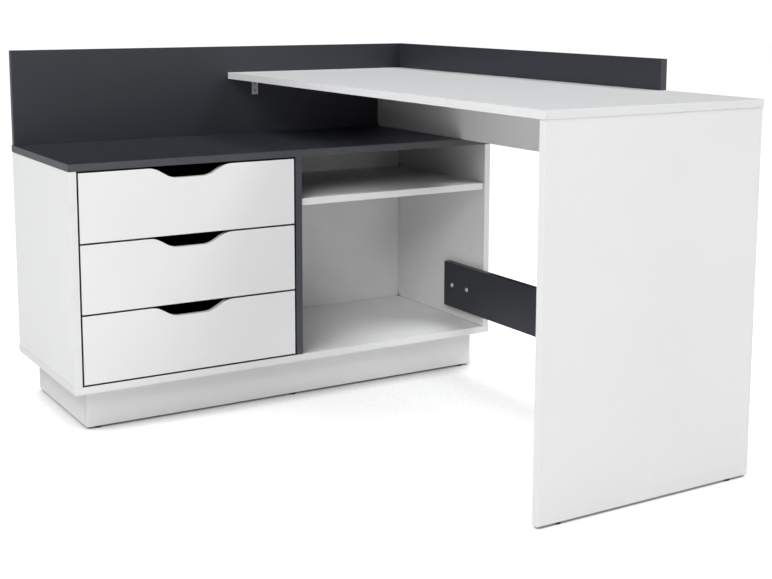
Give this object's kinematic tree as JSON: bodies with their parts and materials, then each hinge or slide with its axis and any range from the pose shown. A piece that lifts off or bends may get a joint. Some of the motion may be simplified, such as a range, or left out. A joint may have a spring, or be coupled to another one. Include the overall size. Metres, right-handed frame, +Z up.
{
  "type": "corner desk",
  "caption": "Corner desk: a low sideboard with inset drawers and an open niche, crossed at a right angle by a desktop on a leg panel, with a dark back panel and side upstand.",
  "frame": {"origin": "middle of the desk's footprint, on the floor", "axes": "+Z up; +Y from the leg panel towards the tall back panel, which is the wall side; +X to the right along the sideboard, towards the end that the desktop crosses"},
  "size_m": [1.077, 1.313, 0.815],
  "materials": {
    "white_laminate": "satin white melamine laminate on particle board, with matching edge bands",
    "anthracite_laminate": "matt anthracite melamine laminate on particle board, with matching edge bands",
    "white_hardboard": "thin hardboard, white lacquer on the side that shows",
    "grey_hardboard": "thin hardboard, dark grey lacquer on the side that shows",
    "zinc_steel": "zinc-plated steel",
    "runner_steel": "white epoxy powder coat on folded sheet steel",
    "white_nylon": "white nylon",
    "black_plastic": "black moulded plastic"
  },
  "bodies": {
    "desk": {"sideboard_bottom": "white_laminate", "sideboard_left_side": "white_laminate", "sideboard_right_side": "white_laminate", "niche_shelf": "white_laminate", "plinth_front": "white_laminate", "plinth_rear": "white_laminate", "plinth_left": "white_laminate", "plinth_right": "white_laminate", "desktop": "white_laminate", "leg_panel": "white_laminate", "apron_rail": "white_laminate", "sideboard_top": "anthracite_laminate", "sideboard_divider": "anthracite_laminate", "tall_back_panel": "anthracite_laminate", "side_upstand": "anthracite_laminate", "stretcher_rail": "anthracite_laminate", "sideboard_back": "white_hardboard", "stretcher_bolt_front": "zinc_steel", "stretcher_bolt_rear": "zinc_steel", "angle_bracket": "zinc_steel", "shelf_pin_front_left": "white_nylon", "shelf_pin_front_right": "white_nylon", "shelf_pin_rear_left": "white_nylon", "shelf_pin_rear_right": "white_nylon", "glide_front_left": "black_plastic", "glide_front_middle": "black_plastic", "glide_front_right": "black_plastic", "glide_rear_left": "black_plastic", "glide_rear_middle": "black_plastic", "glide_rear_right": "black_plastic", "glide_leg_left": "black_plastic", "glide_leg_right": "black_plastic", "bottom_cabinet_runner_left": "runner_steel", "bottom_cabinet_runner_right": "runner_steel", "middle_cabinet_runner_left": "runner_steel", "middle_cabinet_runner_right": "runner_steel", "top_cabinet_runner_left": "runner_steel", "top_cabinet_runner_right": "runner_steel"},
    "bottom_drawer": {"bottom_drawer_front": "white_laminate", "bottom_drawer_left_side": "anthracite_laminate", "bottom_drawer_right_side": "anthracite_laminate", "bottom_drawer_back": "anthracite_laminate", "bottom_drawer_bottom": "grey_hardboard", "bottom_drawer_runner_left": "runner_steel", "bottom_drawer_runner_right": "runner_steel"},
    "middle_drawer": {"middle_drawer_front": "white_laminate", "middle_drawer_left_side": "anthracite_laminate", "middle_drawer_right_side": "anthracite_laminate", "middle_drawer_back": "anthracite_laminate", "middle_drawer_bottom": "grey_hardboard", "middle_drawer_runner_left": "runner_steel", "middle_drawer_runner_right": "runner_steel"},
    "top_drawer": {"top_drawer_front": "white_laminate", "top_drawer_left_side": "anthracite_laminate", "top_drawer_right_side": "anthracite_laminate", "top_drawer_back": "anthracite_laminate", "top_drawer_bottom": "grey_hardboard", "top_drawer_runner_left": "runner_steel", "top_drawer_runner_right": "runner_steel"}
  },
  "joints": [
    {"name": "bottom_drawer_slide", "type": "slide", "parent": "desk", "child": "bottom_drawer", "axis": [0, -1, 0], "range_m": [0, 0.28]},
    {"name": "middle_drawer_slide", "type": "slide", "parent": "desk", "child": "middle_drawer", "axis": [0, -1, 0], "range_m": [0, 0.28]},
    {"name": "top_drawer_slide", "type": "slide", "parent": "desk", "child": "top_drawer", "axis": [0, -1, 0], "range_m": [0, 0.28]}
  ]
}
